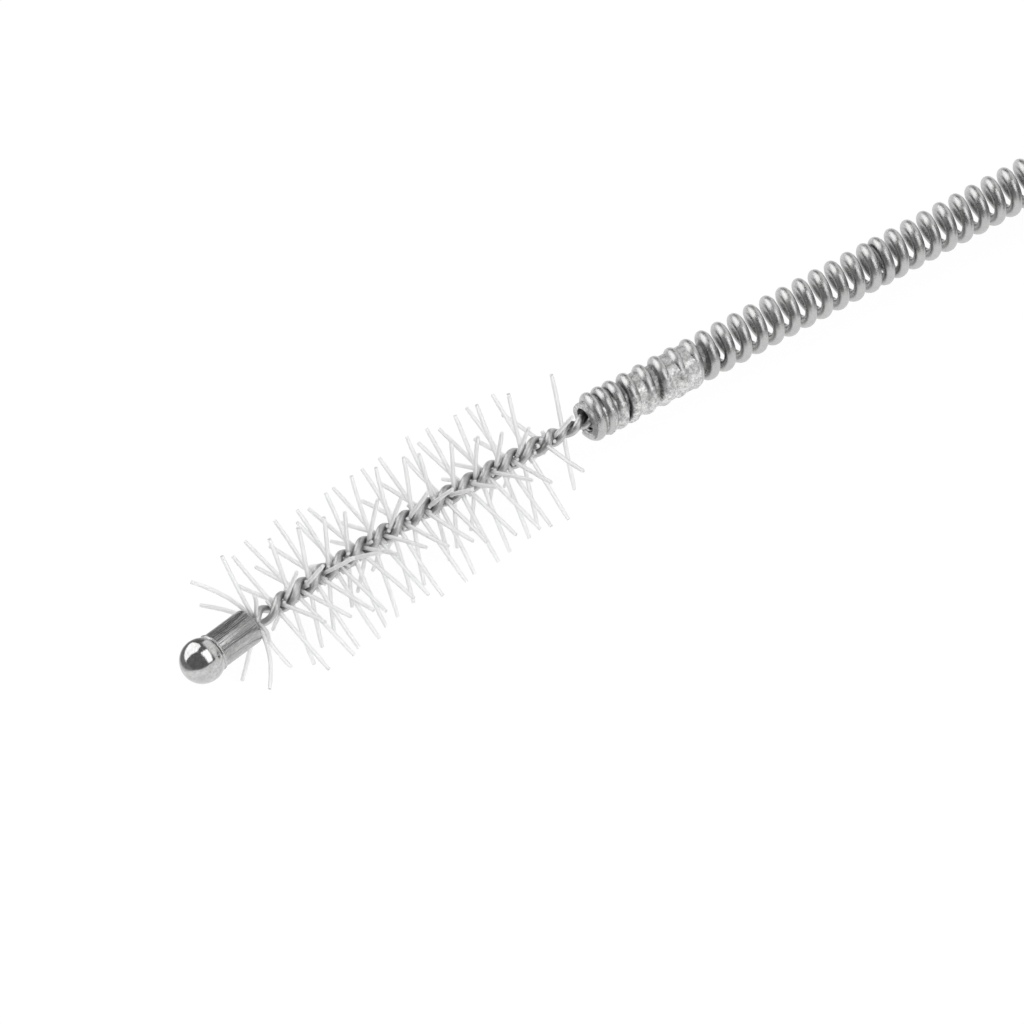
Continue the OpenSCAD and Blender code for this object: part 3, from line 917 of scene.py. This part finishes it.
def shortFilaments(shake):
    # ends of filaments that broke off near the stem and still fill the gap between its wires
    lines, u = [], stem["start"] + bristleLook["shortStarts"]
    while u < stem["free"] - bristleLook["shortStops"]:
        across = stemRadial(u, stemTwist(u) + math.pi / 2)
        along = (stemPoint(u + 0.01) - stemPoint(u - 0.01)).normalized()
        if u > stem["bare"] * bristleLook["shortFrom"]:
            root = mouth + stemPoint(u)
            line = [(root, 1.0)]
            for way in (-1, 1):
                reach = shake.uniform(*bristleLook["shortReach"])
                lean = shake.uniform(*bristleLook["shortLean"])
                end = root + (across * way + along * lean) * reach
                line.insert(0 if way < 0 else 2, (end, bristleLook["tipRound"]))
            lines.append(line)
        u += bristleLook["shortStep"] * shake.uniform(*bristleLook["shortUneven"])
    return lines


def makeBristles(name, node, seed):
    shake = np.random.RandomState(seed)
    lines = []
    for low, high in filamentEnds(node):
        centre = (low + high) / 2
        u = nearestStem(centre)
        root = mouth + stemPoint(u)
        low, high = bentTip(low), bentTip(high)
        centre = (low + high) / 2
        bow = root - centre
        waver = Vector(shake.uniform(-1, 1, 3)) * bristleLook["waver"]
        waver.y *= bristleLook["waverAcross"]
        line = []
        for i in range(bristleLook["points"]):
            t = 2 * i / (bristleLook["points"] - 1) - 1
            at = centre + (high - low) / 2 * t + bow * (1 - t * t)
            at += waver * math.sin(math.pi * t) * abs(t) * bristleLook["waverShare"]
            atEnd = i in (0, bristleLook["points"] - 1)
            line.append((at, bristleLook["tipRound"] if atEnd else 1.0))
        lines.append(line)
    if node == "bristles":
        lines += shortFilaments(shake)
    piece = wireCurve(name, lines, brush["filament"], bristleLook["sides"])
    dress(piece, nylon, "nylon", node)
    print(name, len(lines))


makeBristles("straightBristles", "bristles", 3)
makeBristles("splayedBristles", "splayed_bristles", 5)


# Wound shaft and its solder
windingLook = {"pointsPerTurn": 44, "sides": 16}


def windingPoint(n):
    angle = math.radians(shaft["phase"] - 360 * n)
    r = (shaft["outer"] - shaft["wire"]) / 2
    return mouth + Vector((turnX(n), r * math.cos(angle), r * math.sin(angle)))


def makeWinding():
    count = windingTurns * windingLook["pointsPerTurn"]
    line = [(windingPoint(windingTurns * i / count), 1.0) for i in range(count + 1)]
    piece = wireCurve("winding", [line], shaft["wire"], windingLook["sides"])
    dress(piece, springWire, "spring_wire", "shaft_winding")


def solderHeight(x, angle):
    # distance of the skin from the shaft's axis, where it lies over and between two turns
    half, middle = shaft["wire"] / 2, (shaft["outer"] - shaft["wire"]) / 2
    first = ((shaft["phase"] - math.degrees(angle)) / 360) % 1
    left = first - 1
    while turnX(left + 1) <= x:
        left += 1
    across, up = solderLook["bareSide"]
    facing = math.cos(angle) * across + math.sin(angle) * up
    wiped = (ramp((facing - solderLook["bareFrom"]) / solderLook["bareOver"])
             + ramp(solderLook["firstBare"] - left)
             + ramp(solderLook["bareRuns"] * (left - solderLook["lastBare"])))
    coat = solderLook["coat"] - (solderLook["coat"] + solderLook["wiped"]) * min(wiped, 1)
    turns, drops = zip(*solderLook["drops"])
    height = (shaft["outer"] / 2 - float(np.interp(left, turns, drops))
              - solderLook["sunk"] * ramp((facing - solderLook["sunkFrom"])
                                          / solderLook["sunkOver"]))
    for n in (left, left + 1):
        off = abs(x - turnX(n)) if n >= 0 else half + 1
        wire = (middle + math.sqrt(half ** 2 - off ** 2) if off < half else middle - off) + coat
        blend = max(solderLook["melt"] - abs(height - wire), 0)
        height = max(height, wire) + blend * blend / (4 * solderLook["melt"])
    return height


def makeSolder():
    # a ring whose section is drawn out into a skin over the soldered turns and a wall inside
    clearSelection()
    around, along = solderLook["around"], solderLook["along"]
    bpy.ops.mesh.primitive_torus_add(major_segments=around, minor_segments=along,
                                     major_radius=0.6 * mm, minor_radius=0.1 * mm)
    skin = bpy.context.object
    skin.name = "solder"
    spots = np.zeros((around, along, 3))
    wall = solderLook["wall"]
    run = np.linspace(solderLook["starts"], solderLook["ends"], along - 2 * wall)
    rise = np.linspace(0, 1, wall, endpoint=False)
    for i in range(around):
        angle = 2 * math.pi * i / around
        height = np.array([solderHeight(x, angle) for x in run])
        radius = np.r_[solderLook["inner"] + (height[0] - solderLook["inner"]) * rise, height,
                       solderLook["inner"] + (height[-1] - solderLook["inner"]) * rise[::-1]]
        spots[i, :, 0] = np.r_[[run[0]] * wall, run, [run[-1]] * wall]
        spots[i, :, 1], spots[i, :, 2] = radius * math.cos(angle), radius * math.sin(angle)
    spots += np.array(mouth)
    skin.data.vertices.foreach_set("co", (spots * mm).ravel())
    skin.data.update()
    rim = skin.vertex_groups.new(name="mouthRim")
    rim.add([v.index for v in skin.data.vertices
             if (v.co / mm - mouth).dot(Vector(solderLook["burrSide"]))
             < solderLook["burrsTo"]], 1, "REPLACE")
    addClouds(skin, "burrs", solderLook["burrSize"], solderLook["burrs"], where="mouthRim")
    addClouds(skin, "lumps", solderLook["lumpSize"], solderLook["lumps"])
    addClouds(skin, "grit", solderLook["gritSize"], solderLook["grit"])
    applyModifiers(skin)
    faceOutwards(skin)
    only(skin)
    bpy.ops.object.shade_smooth_by_angle(angle=math.radians(60))
    dress(skin, grainySolder, "grainy_solder", "solder_fill")
    print("solder faces", len(skin.data.polygons))


def makeCore():
    # the solder round the stem, which runs out thinly between the open turns
    core = nodes["solder_core"].copy()
    core.data = nodes["solder_core"].data.copy()
    core.name = "solderCore"
    bpy.context.scene.collection.objects.link(core)
    length = turnX(shaft["closeTurns"] + shaft["solderTurns"])
    only(core)
    bpy.ops.object.mode_set(mode="EDIT")
    bpy.ops.mesh.select_all(action="SELECT")
    bpy.ops.mesh.remove_doubles(threshold=tiny)
    bpy.ops.mesh.bisect(plane_co=((mouth.x + length - solderLook["runsOut"]) * mm, 0, 0),
                        plane_no=(1, 0, 0), threshold=tiny)
    bpy.ops.object.mode_set(mode="OBJECT")
    for v in core.data.vertices:
        out = Vector((0, v.co.y, v.co.z)) - Vector((0, mouth.y, mouth.z)) * mm
        if v.co.x > (mouth.x + length - 0.01) * mm and out.length > solderLook["rim"] * mm:
            v.co -= out * (1 - solderLook["rim"] * mm / out.length)
    faceOutwards(core)
    dress(core, grainySolder, "grainy_solder", "solder_core")


makeWinding()
makeSolder()
makeCore()
for node, finish in (("coil_tie", tiePlastic), ("end_ferrule", ferruleSteel)):
    nodes[node].data.materials.clear()
    nodes[node].data.materials.append(finish)
print("shaft made")


# Table, light and surroundings
# The room is dark above the white table's far half, up to straight edges that are given as
# planes through the brush: the table's near edge, and a white wall on the shaft's side with
# its end
studio = {"tableSize": 6.0, "whiteShare": 0.92, "room": 0.16, "horizon": 0.95,
          "nearEdge": ((-0.157, 0.474, 0.868), -0.17, -0.09),
          "wallEdge": ((-0.986, -0.159, -0.055), -0.65, -0.58),
          "wallEnd": ((-0.729, 0.655, -0.198), -0.04, 0.04),
          "tableEdge": ((-0.5, 0.866, 0), 0.0115, 0.0145),
          "window": {"toward": (-0.196, 0.724, 0.662), "away": 0.35, "size": (0.344, 0.64),
                     "spin": 17.6, "tilt": 42.0, "glow": 1.6},
          "softbox": {"toward": (0.216, -0.557, 0.802), "away": 0.32, "size": (0.181, 0.401),
                      "spin": -15.6, "tilt": -31.4, "glow": 1.8},
          "fill": {"toward": (-0.365, -0.521, 0.772), "away": 0.6, "size": (0.9, 0.9),
                   "spin": 0, "tilt": 0, "glow": 1.7}}


def makeTable():
    clearSelection()
    bpy.ops.mesh.primitive_plane_add(size=studio["tableSize"])
    table = bpy.context.object
    table.name = "table"
    material = bpy.data.materials.new("tableWhite")
    material.use_nodes = True
    tree = material.node_tree
    tree.nodes.clear()
    out = addNode(tree, "ShaderNodeOutputMaterial")
    rays = addNode(tree, "ShaderNodeLightPath")
    seen = addNode(tree, "ShaderNodeMath", {0: rays.outputs["Is Camera Ray"],
                   1: rays.outputs["Is Glossy Ray"]}, operation="MAXIMUM")
    seen = addNode(tree, "ShaderNodeMath", {0: seen.outputs[0],
                   1: rays.outputs["Is Transmission Ray"]}, operation="MAXIMUM")
    share = addNode(tree, "ShaderNodeMath", {0: seen.outputs[0], 1: studio["whiteShare"]},
                    operation="MULTIPLY")
    back = addNode(tree, "ShaderNodeVectorMath", {0: addNode(
        tree, "ShaderNodeTexCoord").outputs["Object"], 1: studio["tableEdge"][0]},
        operation="DOT_PRODUCT").outputs["Value"]
    ends = addNode(tree, "ShaderNodeMapRange", {"Value": back, "From Min": studio["tableEdge"][1],
                   "From Max": studio["tableEdge"][2], "To Max": 1 - studio["room"]})
    lost = addNode(tree, "ShaderNodeMath", {0: ends.outputs[0],
                   1: rays.outputs["Is Glossy Ray"]}, operation="MULTIPLY")
    strength = addNode(tree, "ShaderNodeMath", {0: 1.0, 1: lost.outputs[0]},
                       operation="SUBTRACT")
    matte = addNode(tree, "ShaderNodeBsdfDiffuse", {"Color": (0.95, 0.95, 0.95, 1)})
    white = addNode(tree, "ShaderNodeEmission", {"Color": (1, 1, 1, 1),
                    "Strength": strength.outputs[0]})
    mixed = addNode(tree, "ShaderNodeMixShader", {0: share.outputs[0]})
    tree.links.new(matte.outputs[0], mixed.inputs[1])
    tree.links.new(white.outputs[0], mixed.inputs[2])
    tree.links.new(mixed.outputs[0], out.inputs["Surface"])
    table.data.materials.append(material)


def makeLamp(name, look, shines=True):
    data = bpy.data.lights.new(name, "AREA")
    data.shape = "RECTANGLE"
    data.size, data.size_y = look["size"]
    data.energy = look["glow"] * math.pi * data.size * data.size_y
    lamp = bpy.data.objects.new(name, data)
    bpy.context.scene.collection.objects.link(lamp)
    toward = Vector(look["toward"]).normalized()
    lamp.matrix_world = (Matrix.Translation(toward * look["away"])
                         @ toward.to_track_quat("Z", "Y").to_matrix().to_4x4()
                         @ Matrix.Rotation(math.radians(look["spin"]), 4, "Z")
                         @ Matrix.Rotation(math.radians(look["tilt"]), 4, "X"))
    lamp.visible_glossy = shines
    lamp.visible_transmission = shines


def makeRoom():
    world = bpy.data.worlds.new("room")
    bpy.context.scene.world = world
    world.use_nodes = True
    tree = world.node_tree
    tree.nodes.clear()
    out = addNode(tree, "ShaderNodeOutputWorld")
    way = addNode(tree, "ShaderNodeTexCoord").outputs["Generated"]
    insides = []
    for edge, low, high in (studio["nearEdge"], studio["wallEdge"], studio["wallEnd"]):
        side = addNode(tree, "ShaderNodeVectorMath", {0: way, 1: edge}, operation="DOT_PRODUCT")
        insides.append(addNode(tree, "ShaderNodeMapRange", {"Value": side.outputs["Value"],
                       "From Min": low, "From Max": high}, interpolation_type="SMOOTHSTEP"))
    offWall = addNode(tree, "ShaderNodeMath", {0: insides[1].outputs[0],
                      1: insides[2].outputs[0]}, operation="MAXIMUM")
    dark = addNode(tree, "ShaderNodeMath", {0: insides[0].outputs[0], 1: offWall.outputs[0]},
                   operation="MULTIPLY")
    colour = blendColour(tree, dark.outputs[0], grey(studio["horizon"]), grey(studio["room"]))
    glow = addNode(tree, "ShaderNodeBackground", {"Color": colour, "Strength": 1.0})
    tree.links.new(glow.outputs[0], out.inputs["Surface"])


makeTable()
makeLamp("window", studio["window"])
makeLamp("softbox", studio["softbox"])
makeLamp("fill", studio["fill"], shines=False)
makeRoom()
print("studio set")
